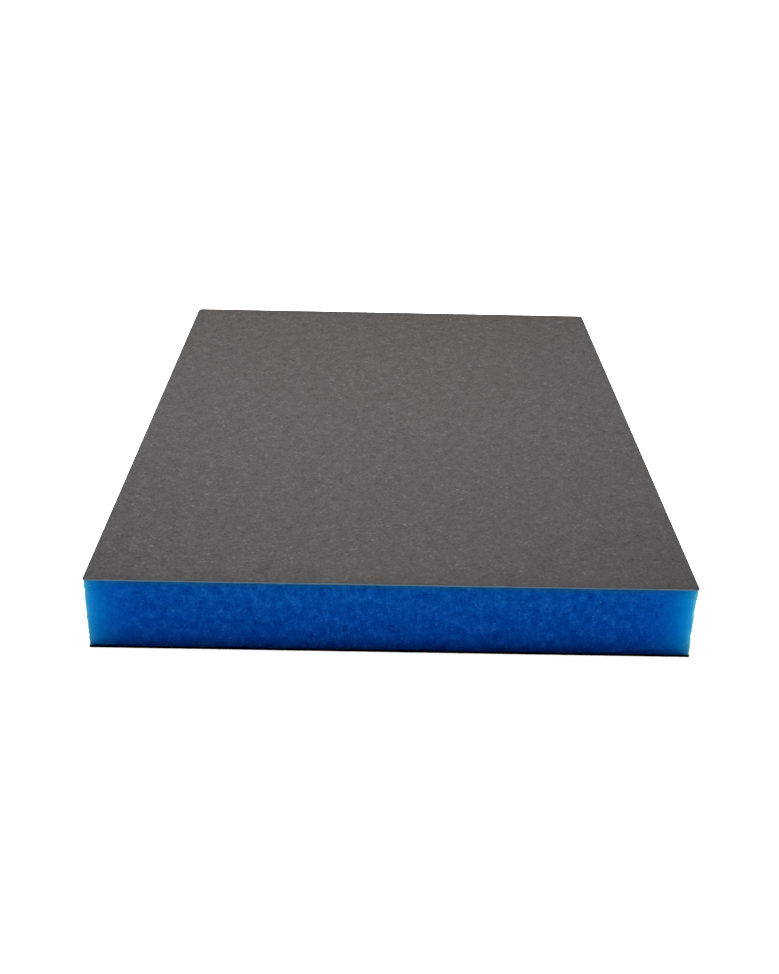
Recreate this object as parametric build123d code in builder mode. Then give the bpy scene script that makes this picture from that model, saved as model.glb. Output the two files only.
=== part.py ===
"""Double-sided abrasive sponge pad: a flexible foam slab with a grit coat bonded to each broad face.

The pad lies flat on its lower coat. +Z is up, +Y runs along its length, and the origin is at the
centre of the face it rests on. All sizes are in millimetres.
"""

import os

from build123d import *

# The pad's outline: the standard hand size, cut with a knife from a coated foam sheet.
pad_width = 98.0
pad_length = 120.0
front_corner_radius = 0.3  # as crisp as the cutting knife leaves a corner, seen from above
back_corner_radius = 1.0  # the other two corners, blunted by handling

# The core is half-inch foam sheet.
foam_thickness = 12.7

# Each coat is one film of resin and grit.
coat_thickness = 0.35
coat_edge_round = 0.12  # the knife rolls the outer edge of a coat over

# The foam springs back behind the knife, so its cut walls end up narrower than the coats.
coat_overhang = 0.15  # where the wall meets a coat
waist_depth = 0.15  # further in, half-way up the wall

pad_thickness = foam_thickness + 2 * coat_thickness
foam_base = coat_thickness
foam_top = foam_base + foam_thickness
mid_height = pad_thickness / 2
foam_width = pad_width - 2 * coat_overhang
foam_length = pad_length - 2 * coat_overhang

os.makedirs("parts", exist_ok=True)


def knife_outline(width, length):
    """Draws the cut outline in the sketch that calls it: crisp corners in front, blunt ones behind."""
    Rectangle(width, length)
    fillet(vertices().group_by(Axis.Y)[0], radius=front_corner_radius)
    fillet(vertices().group_by(Axis.Y)[-1], radius=back_corner_radius)


# The core: one slab lofted from the face on the lower coat, in to the waist, and out again to the
# face under the upper coat, so that all four walls and their corners curve in one smooth sweep.
with BuildPart() as foam_core:
    with BuildSketch(Plane.XY.offset(foam_base)):
        knife_outline(foam_width, foam_length)
    with BuildSketch(Plane.XY.offset(mid_height)):
        knife_outline(foam_width - 2 * waist_depth, foam_length - 2 * waist_depth)
    with BuildSketch(Plane.XY.offset(foam_top)):
        knife_outline(foam_width, foam_length)
    loft()
foam_core.part.label = "foam_core"


# The upper coat: a film over the whole face of the foam, face to face with it, whose outer rim is
# rolled over by the knife. The rim that touches the foam stays sharp.
with BuildPart() as upper_abrasive_coat:
    with BuildSketch(Plane.XY.offset(foam_top)):
        knife_outline(pad_width, pad_length)
    extrude(amount=coat_thickness)
    working_face = upper_abrasive_coat.faces().sort_by(Axis.Z)[-1]
    fillet(working_face.edges(), radius=coat_edge_round)
upper_abrasive_coat.part.label = "upper_abrasive_coat"


# The lower coat is the same film on the other face, so it is the upper one mirrored through the pad.
with BuildPart() as lower_abrasive_coat:
    mirror(upper_abrasive_coat.part, about=Plane.XY.offset(mid_height))
lower_abrasive_coat.part.label = "lower_abrasive_coat"


for piece in (foam_core, upper_abrasive_coat, lower_abrasive_coat):
    export_step(piece.part, f"parts/{piece.part.label}.step")
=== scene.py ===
# %% [markdown]
# # A double-sided abrasive sponge, dressed in Blender
#
# The real object is three things bonded face to face: a slab of flexible blue foam, and a film of
# grit in resin on each of its broad faces. The CAD model holds their true size and place. This
# lesson gives each of them the surface that the real one has.
#
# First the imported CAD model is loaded. Everything that follows takes its place from it, in metres,
# so nothing has to be fitted afterwards.

# %% Load the frame
import math
import random

import bmesh
import bpy
from mathutils import Matrix, Vector, noise


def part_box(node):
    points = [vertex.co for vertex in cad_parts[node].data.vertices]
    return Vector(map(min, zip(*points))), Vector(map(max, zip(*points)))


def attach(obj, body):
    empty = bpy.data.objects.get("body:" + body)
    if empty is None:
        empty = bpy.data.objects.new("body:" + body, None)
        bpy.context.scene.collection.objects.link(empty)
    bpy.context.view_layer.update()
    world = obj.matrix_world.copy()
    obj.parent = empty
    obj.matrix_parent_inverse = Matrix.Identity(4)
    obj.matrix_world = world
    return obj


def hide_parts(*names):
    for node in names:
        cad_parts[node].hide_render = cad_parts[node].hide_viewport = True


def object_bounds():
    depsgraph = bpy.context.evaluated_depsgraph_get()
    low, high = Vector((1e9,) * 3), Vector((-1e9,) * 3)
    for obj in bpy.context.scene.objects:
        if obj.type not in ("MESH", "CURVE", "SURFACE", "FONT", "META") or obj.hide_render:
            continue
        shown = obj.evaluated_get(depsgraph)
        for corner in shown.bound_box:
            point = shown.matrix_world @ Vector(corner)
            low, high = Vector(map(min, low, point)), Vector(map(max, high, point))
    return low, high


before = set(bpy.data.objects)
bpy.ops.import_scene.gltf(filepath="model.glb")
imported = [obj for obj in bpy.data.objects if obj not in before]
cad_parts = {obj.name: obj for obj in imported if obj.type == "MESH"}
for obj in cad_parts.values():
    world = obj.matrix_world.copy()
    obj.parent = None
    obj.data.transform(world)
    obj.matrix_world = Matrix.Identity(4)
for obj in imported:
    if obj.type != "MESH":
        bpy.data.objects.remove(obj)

mm = 0.001
cad_low, cad_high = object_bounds()
pad_size = cad_high - cad_low
pad_centre = (cad_low + cad_high) / 2
print("pad size in mm:", [round(side / mm, 2) for side in pad_size])

# %% [markdown]
# ## Helpers
#
# A bmesh is Blender's mesh in the workshop: operators change it, and only the finished form becomes
# an object. `make_piece` turns one into an object at the origin, because a piece's place is in its
# mesh, and lets it ride with the CAD body. Its faces are shaded smooth, and only an edge that turns
# more than the crease angle stays crisp.

# %% A finished mesh becomes a piece
crease_angle = math.radians(65)


def make_piece(name, shape, material, replaced):
    """Makes an object that stands for a CAD node, with one material."""
    mesh = bpy.data.meshes.new(name)
    shape.to_mesh(mesh)
    shape.free()
    mesh.materials.append(material)
    mesh.shade_smooth()
    mesh.set_sharp_from_angle(angle=crease_angle)
    piece = bpy.data.objects.new(name, mesh)
    bpy.context.scene.collection.objects.link(piece)
    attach(piece, "root")
    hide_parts(replaced)
    triangles = sum(len(face.vertices) - 2 for face in mesh.polygons)
    print(name, "has", triangles, "triangles")
    return piece


# %% [markdown]
# A shader is a tree of nodes. One function adds a node, with its settings and its links, so that
# each material below reads from top to bottom like a recipe. Colours are written as the sRGB hex
# values that a paint chart would give. Blender mixes light in linear values, so one function
# converts them.

# %% Nodes and colours
def linear(hex_colour):
    channels = [int(hex_colour[start:start + 2], 16) / 255 for start in (0, 2, 4)]
    turned = [c / 12.92 if c <= 0.04045 else ((c + 0.055) / 1.055) ** 2.4 for c in channels]
    return (*turned, 1.0)


def add(tree, kind, settings=None, **links):
    """Adds a node. A setting is a property, or the value of the socket with that name or number, or
    a colour ramp's stops, each a position and a hex colour. A link joins the socket with that name,
    or with the number after an i, to another node's output."""
    node = tree.nodes.new(kind)
    for key, value in (settings or {}).items():
        if key == "stops":
            elements = node.color_ramp.elements
            while len(elements) < len(value):
                elements.new(1.0)
            for element, (position, colour) in zip(elements, value):
                element.position = position
                element.color = linear(colour)
        elif isinstance(key, str) and hasattr(node, key):
            setattr(node, key, value)
        else:
            node.inputs[key].default_value = value
    for key, source in links.items():
        socket = int(key[1:]) if key[0] == "i" and key[1:].isdigit() else key.replace("_", " ")
        tree.links.new(source, node.inputs[socket])
    return node


def new_material(name):
    material = bpy.data.materials.new(name)
    material.use_nodes = True
    material.node_tree.nodes.clear()
    return material, material.node_tree


print("mid grey as a linear value:", round(linear("808080")[0], 3))

# %% [markdown]
# ## Camera
#
# The pad lies square to the camera, its short side in front, seen from about 24 degrees above the
# bench and from close by, so that its long sides converge strongly. The camera is placed by what one
# would read off a tripod: where it aims, how far away it is, how much it looks down, and how much it
# leans. It aims past the pad's centre, and a small shift of the lens brings the pad back to the
# middle of the frame.

# %% Camera
aim_past_centre = 38.45 * mm
aim_across = -0.18 * mm
camera_distance = 270.06 * mm
looks_down = math.radians(23.935)
turned_right = math.radians(0.559)
leans = math.radians(1.305)

aim = pad_centre + Vector((aim_across, aim_past_centre, 0.0))
look = Vector((
    math.sin(turned_right) * math.cos(looks_down),
    math.cos(turned_right) * math.cos(looks_down),
    -math.sin(looks_down),
))
upright = look.to_track_quat("-Z", "Y")
camera_data = bpy.data.cameras.new("camera")
camera_data.lens = 41.385
camera_data.sensor_width = 36.0
camera_data.shift_y = -0.1198
camera_data.clip_start = 1 * mm
camera_data.clip_end = 20.0
camera = bpy.data.objects.new("camera", camera_data)
bpy.context.scene.collection.objects.link(camera)
camera.rotation_mode = "QUATERNION"
camera.location = aim - look * camera_distance
camera.rotation_quaternion = upright @ Matrix.Rotation(leans, 3, "Z").to_quaternion()
bpy.context.scene.camera = camera
print("camera at mm:", [round(v / mm, 1) for v in camera.location])

# %% [markdown]
# ## Foam core
#
# The core is open-cell polyurethane foam, cut from a sheet by a knife. Three things make it read as
# foam: walls that pull in slightly between the two coats, pits where the knife opened a cell, and
# the stubs of the struts that it cut.
#
# The first two are the shape of the slab. It starts as a cube, stretched to the foam's size, with its
# four upright edges rounded by a bevel. The two broad faces are glued under the coats and never seen,
# so they are taken off while the walls are cut into small squares by subdividing, and are filled
# again at the end with one face each. That spends every square on a wall that shows.

# %% Foam slab
foam_low, foam_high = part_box("foam_core")
foam_size = foam_high - foam_low
front_corner_radius = 0.15 * mm
back_corner_radius = 1.0 * mm
wall_step = 0.24 * mm


def corner_radius(y):
    """The two corners towards the camera are crisp, and the two behind are blunted."""
    return front_corner_radius if y < 0 else back_corner_radius


def steps_along(length, step):
    return max(1, round(length / step))


def is_vertical(edge):
    return abs(edge.verts[0].co.z - edge.verts[1].co.z) > 0.1 * mm


foam_shape = bmesh.new()
bmesh.ops.create_cube(foam_shape, size=1.0)
bmesh.ops.scale(foam_shape, vec=foam_size, verts=foam_shape.verts)
bmesh.ops.translate(foam_shape, vec=(foam_low + foam_high) / 2, verts=foam_shape.verts)
for behind in (False, True):
    radius = corner_radius(foam_high.y if behind else foam_low.y)
    uprights = [
        edge for edge in foam_shape.edges
        if is_vertical(edge) and (edge.verts[0].co.y > 0) == behind
    ]
    bmesh.ops.bevel(
        foam_shape, geom=uprights, offset=radius, offset_type="OFFSET", affect="EDGES",
        segments=steps_along(radius * math.pi / 2, wall_step), profile=0.5, material=-1,
    )
foam_shape.normal_update()
glued_faces = [face for face in foam_shape.faces if abs(face.normal.z) > 0.5]
bmesh.ops.delete(foam_shape, geom=glued_faces, context="FACES_ONLY")
for axis in (0, 1):
    sides = [
        edge for edge in foam_shape.edges
        if abs((edge.verts[1].co - edge.verts[0].co)[axis]) > foam_size[axis] / 2
    ]
    cuts = steps_along(foam_size[axis] - front_corner_radius - back_corner_radius, wall_step) - 1
    bmesh.ops.subdivide_edges(foam_shape, edges=sides, cuts=cuts)
uprights = [edge for edge in foam_shape.edges if is_vertical(edge)]
bmesh.ops.subdivide_edges(foam_shape, edges=uprights, cuts=steps_along(foam_size.z, wall_step) - 1)
print("points in the foam walls:", len(foam_shape.verts))

# %% [markdown]
# Now the walls need their cells. Voronoi noise scatters a point for each cell and gives the distance
# to the nearest and to the second nearest one: where the two are equal there is a strut, and where
# they differ most there is the middle of a pit. Each cell draws its own depth, because the knife cut
# some through the middle and only grazed others.

# %% Open cells
cell_size = 0.85 * mm
strut_slope = 0.45  # the difference of the two distances, in cell sizes, where a pit is fully deep
shallowest_cell = 0.15  # as a share of the deepest one
draw_spread = 7.3  # any number that sets neighbouring cells far enough apart to draw unlike depths


def clamp(value, low, high):
    return min(max(value, low), high)


def cell_pit(point):
    """How deep the cut surface is at a point, from 0 on a strut to 1 in an open cell."""
    spread, centres = noise.voronoi(point / cell_size)
    opened = noise.cell(centres[0] * draw_spread)
    strut = clamp((spread[1] - spread[0]) / strut_slope, 0.0, 1.0)
    eased = strut * strut * (3 - 2 * strut)
    return eased * (shallowest_cell + (1 - shallowest_cell) * max(0.0, opened))


print("depth of the cells at the corner of the slab:", round(cell_pit(foam_low), 3))

# %% [markdown]
# The knife squeezes the foam as it cuts, and the foam springs back into a shallow waist, deepest a
# little above the middle of the wall and deeper on the +X side than on the other. `outward` tells
# each point which way is out of the foam: straight out on a wall, and fanning round at a corner.
#
# Each point of a wall then moves in by the waist and its cell's pit, with a slow and a fine noise for
# what the cells leave too even. Next to a coat the foam is bonded and can't give, so there the relief
# fades. When all points have moved, the two glued faces are filled.

# %% Waist and walls
waist_depth = 0.09 * mm
waist_rise = 1.5  # lifts the deepest place from the middle of the wall when it is over 1
waist_one_sided = 0.9
waist_wander = 0.4
wander_size = 14 * mm
cell_depth = 0.16 * mm
slow_depth = 0.05 * mm
slow_size = 2.6 * mm
fine_depth = 0.035 * mm
fine_size = 0.4 * mm
mean_depth = 0.11 * mm  # taken off again, so that the wall as a whole stays in place
bonded_rim = 0.6 * mm
bonded_relief = 0.15  # the share of the relief that is left right at a coat


def outward(point, size, trim=0.0):
    """The way out of a slab of this size, whose corner radii are smaller by trim."""
    radius = corner_radius(point.y) - trim
    core = Vector((
        clamp(point.x, radius - size.x / 2, size.x / 2 - radius),
        clamp(point.y, radius - size.y / 2, size.y / 2 - radius),
        point.z,
    ))
    return (point - core).normalized()


def wall_depth(point, out):
    """How far a point of the wall moves in."""
    height = (point.z - foam_low.z) / foam_size.z
    bow = math.sin(math.pi * height ** waist_rise)
    uneven = 1 + waist_one_sided * out.x + waist_wander * noise.noise(point / wander_size)
    waist = waist_depth * bow * uneven
    fade = clamp(min(height, 1 - height) * foam_size.z / bonded_rim, bonded_relief, 1.0)
    slow = slow_depth * noise.noise(point / slow_size)
    fine = fine_depth * noise.noise(point / fine_size)
    return waist + fade * (cell_depth * cell_pit(point) + slow + fine - mean_depth)


for vert in foam_shape.verts:
    out = outward(vert.co, foam_size)
    vert.co -= out * wall_depth(vert.co.copy(), out)
bmesh.ops.holes_fill(foam_shape, edges=[edge for edge in foam_shape.edges if edge.is_boundary])
bmesh.ops.recalc_face_normals(foam_shape, faces=foam_shape.faces)
print("faces in the closed slab:", len(foam_shape.faces))

# %% [markdown]
# Where the knife went through a strut, a stub is left standing out of the wall. Most hardly leave it
# and a few are longer, so the stubs draw their length from a falling curve, and they are longer at
# the upright edges, where the foam tears as the knife leaves it. Each is a slim cone of three sides,
# with its foot sunk in the wall and its tip leaning its own way. One in thirty is the wide, low stump
# of a knot where struts met.

# %% One cut strut
strut_width = 0.05 * mm
strut_length = 0.07 * mm
longest_strut = 0.38 * mm
foot_depth = 0.05 * mm
strut_lean = 0.35
edge_gain = 1.6  # the share by which a strut is longer right at an upright edge
edge_gain_reach = 0.6 * mm  # how far from the edge that has worn off to about a third
stump_share = 0.033
stump_width = 0.19 * mm
stump_length = 0.09 * mm
chance = random.Random(11)


def cut_strut(shape, place):
    """A strut's stub, from a little inside the wall outwards."""
    out = outward(place, foam_size)
    lean = Vector([chance.gauss(0.0, strut_lean) for axis in range(3)])
    along = (out + lean).normalized()
    to_edge = foam_size.x / 2 - abs(place.x) + foam_size.y / 2 - abs(place.y)
    longer = 1 + edge_gain * math.exp(-to_edge / edge_gain_reach)
    width = strut_width * chance.uniform(0.5, 1.3)
    length = foot_depth + min(longest_strut, longer * chance.expovariate(1 / strut_length))
    if chance.random() < stump_share:
        width = stump_width * chance.uniform(0.6, 1.2)
        length = foot_depth + stump_length
    middle = place - out * (wall_depth(place, out) + foot_depth) + along * length / 2
    bmesh.ops.create_cone(
        shape, cap_ends=True, segments=3, radius1=width, radius2=0.0, depth=length,
        matrix=Matrix.Translation(middle) @ along.to_track_quat("Z", "Y").to_matrix().to_4x4(),
    )


# %% [markdown]
# The struts are scattered at random places. A test of `cell_pit` leaves out the places inside a cell,
# where there is no strut to cut. An operator looks through its whole bmesh each time, so the cones
# are made in small batches that are then put together.
#
# The struts torn at the upright edges stand free, with light all round them, and look paler. So they
# are a second piece, with a material of its own. The two blunt corners behind have fewer of them.

# %% Fields of cut struts
places_tried = 200  # in each batch
batches_on_walls = 130
batches_at_edges = 13
torn_reach = 1.0 * mm
torn_share_behind = 0.25
deepest_strut = 0.12  # by cell_pit
clear_of_lower_coat = 0.3 * mm
clear_of_upper_coat = 0.2 * mm
clear_of_edge = 0.1 * mm


def wall_place(from_edge):
    """A random place on the four walls, or only within a distance of an upright edge."""
    on_end = chance.random() * (foam_size.x + foam_size.y) < foam_size.y
    axis, other = (0, 1) if on_end else (1, 0)
    lowest = foam_low.z + clear_of_lower_coat
    place = Vector((0.0, 0.0, chance.uniform(lowest, foam_high.z - clear_of_upper_coat)))
    place[axis] = chance.choice((-0.5, 0.5)) * foam_size[axis]
    furthest = foam_size[other] / 2 - clear_of_edge
    nearest = furthest - from_edge if from_edge else 0.0
    place[other] = chance.choice((-1, 1)) * chance.uniform(nearest, furthest)
    return place


def strut_field(batches, from_edge=None, share_behind=1.0):
    """Struts all over the walls, or those near the upright edges, with only a share of them behind."""
    field = bmesh.new()
    for number in range(batches):
        batch = bmesh.new()
        for place in [wall_place(from_edge) for tried in range(places_tried)]:
            if cell_pit(place) < deepest_strut and (place.y < 0 or chance.random() < share_behind):
                cut_strut(batch, place)
        batch_mesh = bpy.data.meshes.new("struts_batch")
        batch.to_mesh(batch_mesh)
        batch.free()
        field.from_mesh(batch_mesh)
        bpy.data.meshes.remove(batch_mesh)
    print("struts in this field:", len(field.verts) // 4)
    return field


strut_shape = strut_field(batches_on_walls)
torn_shape = strut_field(batches_at_edges, torn_reach, torn_share_behind)

# %% [markdown]
# ## Coats
#
# Each coat is one film: fine mineral grit, set in a flexible resin that is brushed on the foam and
# baked. From above it is a dull, even, slightly mottled field of grains. Two helpers shape it.
# `ease_corner` moves the square corner of a grid on to the knife's round corner, and `relief` is the
# grain of the working face: the print of the foam cells below, then lumps, then the grit itself.

# %% Corner and grain of a coat
print_depth = 0.012 * mm
print_size = 2.2 * mm
lump_depth = 0.014 * mm
lump_size = 0.9 * mm
grit_depth = 0.014 * mm
grit_size = 0.3 * mm


def ease_corner(point, size, trim):
    """Moves a point of a square corner on to a round one."""
    radius = corner_radius(point.y) - trim
    reach = Vector((abs(point.x) - size.x / 2 + radius, abs(point.y) - size.y / 2 + radius)) / radius
    if min(reach) <= 0:
        return
    u, v = reach
    point.x -= math.copysign(radius * u * (1 - math.sqrt(1 - v * v / 2)), point.x)
    point.y -= math.copysign(radius * v * (1 - math.sqrt(1 - u * u / 2)), point.y)


def relief(point):
    """How far a point of the working face stands up."""
    print_through = print_depth * noise.noise(point / print_size)
    lumps = lump_depth * noise.noise(point / lump_size)
    grains = grit_depth * noise.cell(point / grit_size)
    return print_through + lumps + grains


print("relief in the middle of the pad, in mm:", round(relief(pad_centre) / mm, 4))

# %% [markdown]
# Where the knife cut the film, it shows its thickness as a fine line, and its outer edge is rolled
# over a little. The film starts as a grid, one sheet of small squares, because its whole face needs
# relief. Then the rim of the sheet is extruded three times, out and down, for the rolled edge, and
# once more straight down for the cut, and the underside is filled. The lower coat is made the same
# way, face up, and then turned over.

# %% Coat films
grain_step = 0.355 * mm
edge_round = 0.07 * mm
roll_step = 30  # degrees
raggedness = 0.25
ragged_size = 0.7 * mm
relief_sink = 0.02 * mm  # keeps the highest grains close to the solid's face


def grow(shape, rim):
    """Extrudes the open rim where it is, and gives the edges and the points of the new one."""
    grown = bmesh.ops.extrude_edge_only(shape, edges=rim)["geom"]
    rim = [item for item in grown if isinstance(item, bmesh.types.BMEdge) and item.is_boundary]
    return rim, {vert for edge in rim for vert in edge.verts}


def coat_film(low, high):
    """A coat that faces up, from its bonded face at low.z to its working face at high.z."""
    size = high - low
    sheet = Vector((size.x - 2 * edge_round, size.y - 2 * edge_round, 0.0))
    shape = bmesh.new()
    squares = [steps_along(side, grain_step) for side in (size.x, size.y)]
    bmesh.ops.create_grid(shape, size=0.5, x_segments=squares[0], y_segments=squares[1])
    bmesh.ops.scale(shape, vec=Vector((sheet.x, sheet.y, 1.0)), verts=shape.verts)
    bmesh.ops.translate(shape, vec=Vector((0.0, 0.0, high.z)), verts=shape.verts)
    for vert in shape.verts:
        ease_corner(vert.co, sheet, edge_round)
        vert.co.z += relief(vert.co) - relief_sink
    rim = [edge for edge in shape.edges if edge.is_boundary]
    for turn in range(0, 90, roll_step):
        here, there = math.radians(turn), math.radians(turn + roll_step)
        rim, points = grow(shape, rim)
        for vert in points:
            out = outward(vert.co, sheet, edge_round)
            ragged = 1 + raggedness * noise.noise(vert.co / ragged_size)
            vert.co += out * edge_round * (math.sin(there) - math.sin(here)) * ragged
            vert.co.z -= edge_round * (math.cos(here) - math.cos(there))
    rim, points = grow(shape, rim)
    for vert in points:
        vert.co.z = low.z
    bmesh.ops.holes_fill(shape, edges=rim)
    bmesh.ops.recalc_face_normals(shape, faces=shape.faces)
    print("faces in this coat:", len(shape.faces))
    return shape


upper_low, upper_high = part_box("upper_abrasive_coat")
lower_low, lower_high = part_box("lower_abrasive_coat")
upper_shape = coat_film(upper_low, upper_high)
lower_shape = coat_film(lower_low, lower_high)
flip = Matrix.Rotation(math.pi, 4, "Y")
about_middle = Matrix.Translation(-(lower_low + lower_high) / 2)
bmesh.ops.transform(lower_shape, matrix=flip, space=about_middle, verts=lower_shape.verts)

# %% [markdown]
# ## Foam material
#
# Noise of about a millimetre gives the light and dark blotches where cells lie open or closed. The
# lightest are a little whiter too, because there the eye meets cut ends and not the depth of the
# foam. Voronoi cells of about half a millimetre add the paler web of struts, and together with a
# finer set they drive the bump for what is too fine to model.

# %% Pattern of the cells
web_size = 0.55 * mm
fine_web_size = 0.26 * mm
blotch_size = 1.1 * mm


def foam_cells(tree, place):
    """The colour of the open and closed cells, and their height for the bump."""
    cells = add(tree, "ShaderNodeTexVoronoi", {
        "feature": "DISTANCE_TO_EDGE", "Scale": 1 / web_size}, Vector=place)
    fine = add(tree, "ShaderNodeTexVoronoi", {"Scale": 1 / fine_web_size}, Vector=place)
    blotches = add(tree, "ShaderNodeTexNoise", {
        "Scale": 1 / blotch_size, "Detail": 3.0, "Roughness": 0.6}, Vector=place)
    web = add(tree, "ShaderNodeMapRange", {"From Max": 0.2, "To Min": 1.0, "To Max": 0.0},
              Value=cells.outputs["Distance"])
    mixed = add(tree, "ShaderNodeMath", {"operation": "MULTIPLY_ADD", 1: 0.22},
                i0=web.outputs[0], i2=blotches.outputs["Fac"])
    colour = add(tree, "ShaderNodeValToRGB", {"stops": (
        (0.20, "002C90"), (0.35, "0151C0"), (0.47, "025ECF"),
        (0.67, "0E6CDE"), (0.80, "1C78E8"), (1.00, "3087F0"))}, i0=mixed.outputs[0])
    height = add(tree, "ShaderNodeMath", {"operation": "MULTIPLY_ADD", 1: 0.5},
                 i0=web.outputs[0], i2=fine.outputs["Distance"])
    return colour.outputs["Color"], height.outputs[0]


# %% [markdown]
# The colour changes down a wall, and much of that change is painted light and shade. The foam is
# painted greener near the upper coat, where the light from above reaches it, and a deeper blue near
# the bench. Next to the upper coat the cells are dulled, partly by the bonding resin that has soaked
# in and partly by a painted shadow under the coat's edge. Near the bench they are darkened by
# painted shade.

# %% Colour down a wall
def down_the_wall(tree, part, colour):
    """Paints light as a greener tint at the top, and resin and painted shade near the coats."""
    # Painted light: the colour is scaled greener towards the top, where light from above falls.
    tone = add(tree, "ShaderNodeMapRange", {
        "From Min": foam_low.z, "From Max": foam_high.z, "To Min": 0.88, "To Max": 1.16,
    }, Value=part.outputs["Z"])
    painted_light_tint = add(tree, "ShaderNodeCombineXYZ", {"X": 1.0, "Z": 1.0}, Y=tone.outputs[0])
    colour = add(tree, "ShaderNodeVectorMath", {"operation": "MULTIPLY"},
                 i0=colour, i1=painted_light_tint.outputs[0]).outputs[0]
    # Under the upper coat the mix is resin and a painted shadow; by the bench it is painted shade.
    resin_and_coat_shadow = (foam_high.z - 1.0 * mm, foam_high.z - 0.2 * mm, 0.36, "2C8888")
    painted_bench_shade = (foam_low.z + 2.6 * mm, foam_low.z + 0.3 * mm, 0.26, "001450")
    for start, end, most, near_coat_colour in (resin_and_coat_shadow, painted_bench_shade):
        near_coat_mix = add(tree, "ShaderNodeMapRange", {"From Min": start, "From Max": end, "To Max": most},
                     Value=part.outputs["Z"])
        colour = add(tree, "ShaderNodeMix", {"data_type": "RGBA", 7: linear(near_coat_colour)},
                     i0=near_coat_mix.outputs[0], i6=colour).outputs[2]
    return colour


# %% [markdown]
# Close to an upright edge there is so little foam that daylight comes through it. Scattering alone
# makes that too faint, so that light is painted in: the colour is mixed towards brighter ones. Each
# painted glow fades with the distance along the wall to the nearest upright edge, by its own reach:
# blue light gets furthest through the foam, green less far, and only the last fraction of a
# millimetre is pale.
#
# Near the bench little light comes through. At the back edges it hardly shows, because there the
# walls themselves are brightly lit. The painted light is stronger at the +X end, as the strip of
# light on that side is stronger.

# %% Light through the edges
blue_light = (3.9 * mm, "0066FF", 1.0)
green_light = (1.9 * mm, "08D0FF", 0.9)
pale_light = (0.35 * mm, "84B0C2", 0.6)
strength_at_right = 1.2


def light_through(tree, part, colour):
    """Paints in the light that comes through the foam at its upright edges."""
    inside = []
    for axis, half in (("X", foam_size.x / 2), ("Y", foam_size.y / 2)):
        away = add(tree, "ShaderNodeMath", {"operation": "ABSOLUTE"}, i0=part.outputs[axis])
        gap = add(tree, "ShaderNodeMath", {"operation": "SUBTRACT", 0: half}, i1=away.outputs[0])
        inside.append(gap.outputs[0])
    along = add(tree, "ShaderNodeMath", {"operation": "ADD"}, i0=inside[0], i1=inside[1])
    clear = add(tree, "ShaderNodeMapRange", {
        "interpolation_type": "SMOOTHSTEP",
        "From Min": foam_low.z - 1.2 * mm, "From Max": foam_low.z + 1.8 * mm,
    }, Value=part.outputs["Z"])
    shaded = add(tree, "ShaderNodeMapRange", {
        "From Min": foam_low.y, "From Max": foam_high.y, "To Min": 1.0, "To Max": 0.3,
    }, Value=part.outputs["Y"])
    shown = add(tree, "ShaderNodeMath", {"operation": "MULTIPLY"},
                i0=clear.outputs[0], i1=shaded.outputs[0])
    for reach, glow, strength_at_left in (blue_light, green_light, pale_light):
        decay = add(tree, "ShaderNodeMath", {"operation": "DIVIDE", 1: -reach}, i0=along.outputs[0])
        thin = add(tree, "ShaderNodeMath", {"operation": "EXPONENT"}, i0=decay.outputs[0])
        # Painted light, made stronger towards the +X end.
        painted_light_by_side = add(tree, "ShaderNodeMapRange", {
            "From Min": foam_low.x, "From Max": foam_high.x,
            "To Min": strength_at_left, "To Max": strength_at_right,
        }, Value=part.outputs["X"])
        amount = shown
        for factor in (thin, painted_light_by_side):
            amount = add(tree, "ShaderNodeMath", {"operation": "MULTIPLY"},
                         i0=amount.outputs[0], i1=factor.outputs[0])
        colour = add(tree, "ShaderNodeMix", {"data_type": "RGBA", 7: linear(glow)},
                     i0=amount.outputs[0], i6=colour).outputs[2]
    return colour


# %% [markdown]
# Dyed polyurethane foam has no gloss of its own: its struts are so thin that what the eye gets is
# light that has scattered inside. That is subsurface scattering. So the shader is a plain dielectric
# at polyurethane's IOR with its specular turned off, and a scattering radius of one to three cells,
# longest for blue. The colour passes through the three functions above on its way in.
#
# Struts torn through by the knife are thinner than the light goes, so they look pale. The ones at the
# upright edges let it through as well, and get a little scattering of their own.

# %% Open-cell polyurethane foam
def foam_material():
    material, tree = new_material("open_cell_polyurethane_foam_knife_cut")
    place = add(tree, "ShaderNodeTexCoord").outputs["Object"]
    part = add(tree, "ShaderNodeSeparateXYZ", Vector=place)
    colour, height = foam_cells(tree, place)
    colour = light_through(tree, part, down_the_wall(tree, part, colour))
    bump = add(tree, "ShaderNodeBump", {"Strength": 0.6, "Distance": 0.1 * mm}, Height=height)
    surface = add(tree, "ShaderNodeBsdfPrincipled", {
        "Roughness": 0.95, "IOR": 1.5, "Specular IOR Level": 0.0,
        "Subsurface Weight": 1.0, "Subsurface Scale": 1.0,
        "Subsurface Radius": (0.8 * mm, 1.8 * mm, 2.2 * mm),
    }, Base_Color=colour, Normal=bump.outputs["Normal"])
    add(tree, "ShaderNodeOutputMaterial", Surface=surface.outputs["BSDF"])
    print("nodes in the foam material:", len(tree.nodes))
    return material


def strut_material(name, hex_colour, let_through):
    material, tree = new_material(name)
    surface = add(tree, "ShaderNodeBsdfPrincipled", {
        "Base Color": linear(hex_colour), "Roughness": 1.0, "Specular IOR Level": 0.0,
        "Subsurface Weight": let_through, "Subsurface Scale": 1.0,
        "Subsurface Radius": (0.2 * mm, 0.4 * mm, 0.6 * mm),
    })
    add(tree, "ShaderNodeOutputMaterial", Surface=surface.outputs["BSDF"])
    return material


# %% [markdown]
# ## Coat material
#
# The grit is fused aluminium oxide, brown-grey, about a tenth of a millimetre across, held in dark
# resin. Single grains are too fine to show from this far, so they are drawn at about a quarter of a
# millimetre. Every grain is one Voronoi cell with a tone of its own and a face turned its own way,
# which gives the faint glints of crushed mineral. Noise of half a millimetre gathers the grains in
# clumps, and noise of a millimetre and a half gives the mottling where the resin lies thicker.

# %% Tone of the grit
grain_size = 0.27 * mm
clump_size = 0.5 * mm
mottle_size = 1.6 * mm


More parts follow.
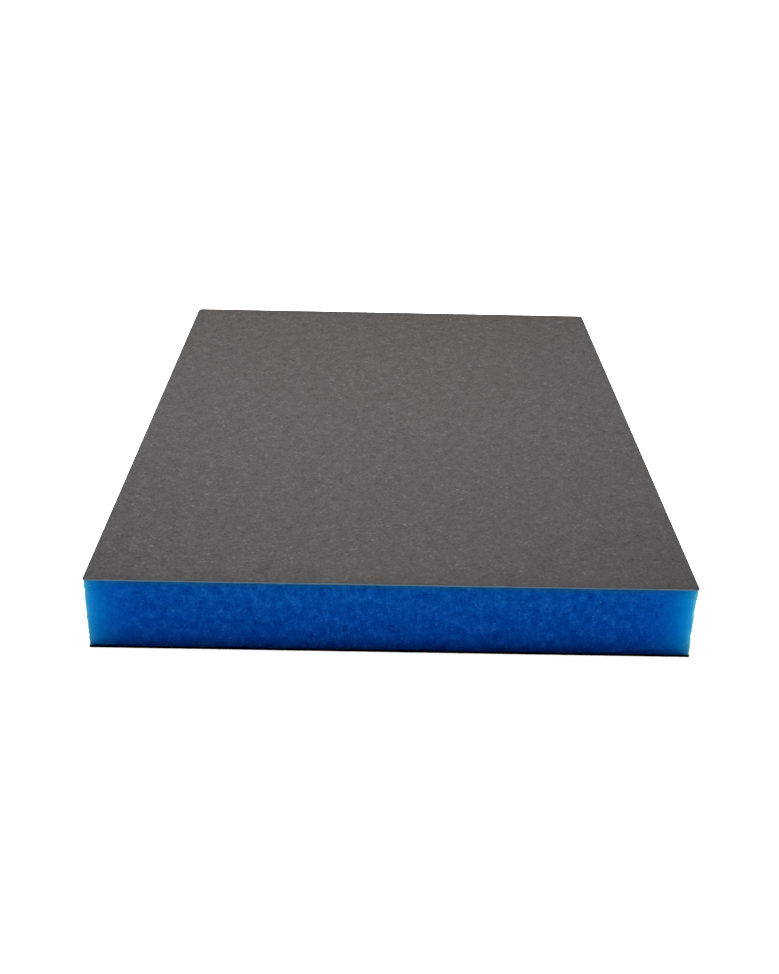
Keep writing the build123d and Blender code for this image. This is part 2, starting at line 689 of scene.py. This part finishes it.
def grit_colour(tree, place, grains):
    """The colour of the working face, from each grain's own tone, the clumps and the mottling."""
    lot = add(tree, "ShaderNodeSeparateColor", Color=grains.outputs["Color"])
    clumps = add(tree, "ShaderNodeTexNoise", {"Scale": 1 / clump_size, "Detail": 1.0}, Vector=place)
    mottle = add(tree, "ShaderNodeTexNoise", {"Scale": 1 / mottle_size, "Detail": 2.0}, Vector=place)
    tone = add(tree, "ShaderNodeMath", {"operation": "MULTIPLY", 1: 0.23}, i0=lot.outputs["Red"])
    for pattern, weight in ((clumps, 0.45), (mottle, 0.32)):
        tone = add(tree, "ShaderNodeMath", {"operation": "MULTIPLY_ADD", 1: weight},
                   i0=pattern.outputs["Fac"], i2=tone.outputs[0])
    grit = add(tree, "ShaderNodeValToRGB", {"stops": (
        (0.22, "12100F"), (0.36, "2B2927"), (0.50, "33302E"),
        (0.64, "3A3837"), (0.82, "5B5958"))}, i0=tone.outputs[0])
    return grit.outputs["Color"]


# %% [markdown]
# Towards the front and back cuts the film is painted a little darker, as shade.
# On the cut itself the film shows another colour: pale where the upper one's backing is bared, and
# nearly black on the lower one, which is painted shade where the pad hides that cut from the light.
# That colour sets in between two heights, `cut_from` and `cut_to`.

# %% Grit in resin
painted_shade_width = 4.0 * mm
painted_shade_factor = 0.88
facet_turn = 0.12


def painted_edge_shade(tree, part, colour):
    """Darkens the colour towards the front and back cuts: painted shade."""
    away = add(tree, "ShaderNodeMath", {"operation": "ABSOLUTE"}, i0=part.outputs["Y"])
    shade = add(tree, "ShaderNodeMapRange", {
        "interpolation_type": "SMOOTHSTEP",
        "From Min": upper_high.y - painted_shade_width, "From Max": upper_high.y,
        "To Min": 1.0, "To Max": painted_shade_factor,
    }, Value=away.outputs[0])
    darker = add(tree, "ShaderNodeVectorMath", {"operation": "SCALE"},
                 i0=colour, Scale=shade.outputs[0])
    return darker.outputs[0]


def coat_material(name, cut_from, cut_to, cut_colour_and_shade):
    material, tree = new_material(name)
    place = add(tree, "ShaderNodeTexCoord").outputs["Object"]
    part = add(tree, "ShaderNodeSeparateXYZ", Vector=place)
    grains = add(tree, "ShaderNodeTexVoronoi", {"Scale": 1 / grain_size}, Vector=place)
    cut = add(tree, "ShaderNodeMapRange", {"From Min": cut_from, "From Max": cut_to},
              Value=part.outputs["Z"])
    colour = add(tree, "ShaderNodeMix", {"data_type": "RGBA", 7: linear(cut_colour_and_shade)},
                 i0=cut.outputs[0], i6=painted_edge_shade(tree, part, grit_colour(tree, place, grains)))
    turned = add(tree, "ShaderNodeVectorMath", {"operation": "SUBTRACT", 1: (0.5, 0.5, 0.5)},
                 i0=grains.outputs["Color"])
    facet = add(tree, "ShaderNodeVectorMath", {"operation": "SCALE", "Scale": facet_turn},
                i0=turned.outputs[0])
    facing = add(tree, "ShaderNodeNewGeometry")
    tilted = add(tree, "ShaderNodeVectorMath", {"operation": "ADD"},
                 i0=facing.outputs["Normal"], i1=facet.outputs[0])
    normal = add(tree, "ShaderNodeVectorMath", {"operation": "NORMALIZE"}, i0=tilted.outputs[0])
    surface = add(tree, "ShaderNodeBsdfPrincipled", {
        "Roughness": 0.7, "IOR": 1.6, "Specular IOR Level": 0.15,
    }, Base_Color=colour.outputs[2], Normal=normal.outputs[0])
    add(tree, "ShaderNodeOutputMaterial", Surface=surface.outputs["BSDF"])
    print("nodes in", name, "are", len(tree.nodes))
    return material


# %% [markdown]
# ## The pieces
#
# Each modelled piece stands for its CAD node, which keeps its weight and contact but isn't shown. The
# foam node has three pieces: the slab and the two fields of struts.

# %% Pieces
foam = make_piece("foam_core_cut", foam_shape, foam_material(), "foam_core")

cut_struts = strut_material("polyurethane_struts_cut", "50A0EE", let_through=0.0)
make_piece("cut_foam_struts", strut_shape, cut_struts, "foam_core")
torn_struts = strut_material("polyurethane_struts_torn", "64C8FF", let_through=1.0)
make_piece("torn_edge_struts", torn_shape, torn_struts, "foam_core")

upper_grit = coat_material(
    "fused_alumina_grit_in_resin_upper",
    cut_from=upper_high.z - 0.055 * mm, cut_to=upper_high.z - 0.075 * mm, cut_colour_and_shade="7EA2BA")
make_piece("upper_grit_coat", upper_shape, upper_grit, "upper_abrasive_coat")
# The lower film's nearly black cut is painted shade, where the pad hides it from the light.
lower_grit = coat_material(
    "fused_alumina_grit_in_resin_lower",
    cut_from=lower_low.z + 0.1 * mm, cut_to=lower_low.z + 0.2 * mm, cut_colour_and_shade="141B30")
make_piece("lower_grit_coat", lower_shape, lower_grit, "lower_abrasive_coat")

# %% [markdown]
# ## Floor and backdrop
#
# The pad lies on a white bench. The camera sees a sheet that is plain white, and just under it lies
# a card that the camera doesn't see, which catches the light and throws it back at the pad. Behind
# them the world is white too, but only for the camera, so that it adds no light to the pad.

# %% Floor and backdrop
def stage_plane(name, half, height, material, seen_by):
    """A flat square at a height, which takes part only in the rays that are named."""
    shape = bmesh.new()
    bmesh.ops.create_grid(shape, size=half, x_segments=8, y_segments=8)
    bmesh.ops.translate(shape, vec=Vector((0, 0, height)), verts=shape.verts)
    mesh = bpy.data.meshes.new(name)
    shape.to_mesh(mesh)
    shape.free()
    mesh.materials.append(material)
    plane = bpy.data.objects.new(name, mesh)
    bpy.context.scene.collection.objects.link(plane)
    for ray in ("camera", "diffuse", "glossy", "transmission", "volume_scatter", "shadow"):
        setattr(plane, "visible_" + ray, ray in seen_by)


def matte(name, hex_colour, glow):
    material, tree = new_material(name)
    surface = add(tree, "ShaderNodeBsdfPrincipled", {
        "Base Color": linear(hex_colour), "Roughness": 1.0, "Specular IOR Level": 0.0,
        "Emission Color": (1.0, 1.0, 1.0, 1.0), "Emission Strength": glow,
    })
    add(tree, "ShaderNodeOutputMaterial", Surface=surface.outputs["BSDF"])
    return material


paper = matte("white_paper_sweep", "FFFFFF", glow=1.0)
stage_plane("floor", 3.0, -0.03 * mm, paper, seen_by=("camera",))
card = matte("white_card", "E9E9E9", glow=0.0)
stage_plane("bounce_card", 0.6, -0.04 * mm, card, seen_by=("diffuse", "glossy", "shadow"))

world = bpy.data.worlds.new("studio")
bpy.context.scene.world = world
world.use_nodes = True
backdrop = world.node_tree.nodes["Background"]
backdrop.inputs["Color"].default_value = (1, 1, 1, 1)
backdrop.inputs["Strength"].default_value = 1.0
for ray in ("diffuse", "glossy", "transmission", "scatter"):
    setattr(world.cycles_visibility, ray, False)

# %% [markdown]
# ## Light
#
# Four soft boxes hang above: a large one, a smaller one close over the middle, and a pair behind
# that lifts the far corners. All of them hang behind the plane of the front wall, so that wall gets
# almost only what the card throws back. Two weak strips, low beside the pad, light its long walls.
# The view transform is the plain one, so that colours come out as they were set.

# %% Lights
def soft_box(name, place, towards, width, height, watts):
    data = bpy.data.lights.new(name, "AREA")
    data.shape = "RECTANGLE"
    data.size = width
    data.size_y = height
    data.energy = watts
    light = bpy.data.objects.new(name, data)
    bpy.context.scene.collection.objects.link(light)
    light.location = place
    light.rotation_mode = "QUATERNION"
    light.rotation_quaternion = (towards - place).to_track_quat("-Z", "Y")
    light.visible_camera = False
    print(name, "gives", watts, "W")


soft_box("ceiling_box", Vector((0.0, 0.02, 0.25)), Vector((0.0, 0.02, 0.0)), 0.14, 0.14, 0.675)
soft_box("near_box", Vector((-0.013, 0.027, 0.15)), Vector((-0.013, 0.027, 0.0)), 0.1, 0.1, 0.31)
for side in (-1, 1):
    far_corner = Vector((side * 0.045, 0.035, 0.0))
    soft_box("back_box", Vector((side * 0.1, 0.1, 0.13)), far_corner, 0.08, 0.08, 0.123)
strip_middle = Vector((0.0, -0.03, 0.007))
for side, watts in ((-1, 0.0075), (1, 0.021)):
    beside = strip_middle + Vector((side * 0.09, 0.0, 0.0))
    soft_box("strip_box", beside, strip_middle, 0.08, 0.012, watts)

bpy.context.scene.view_settings.view_transform = "Standard"
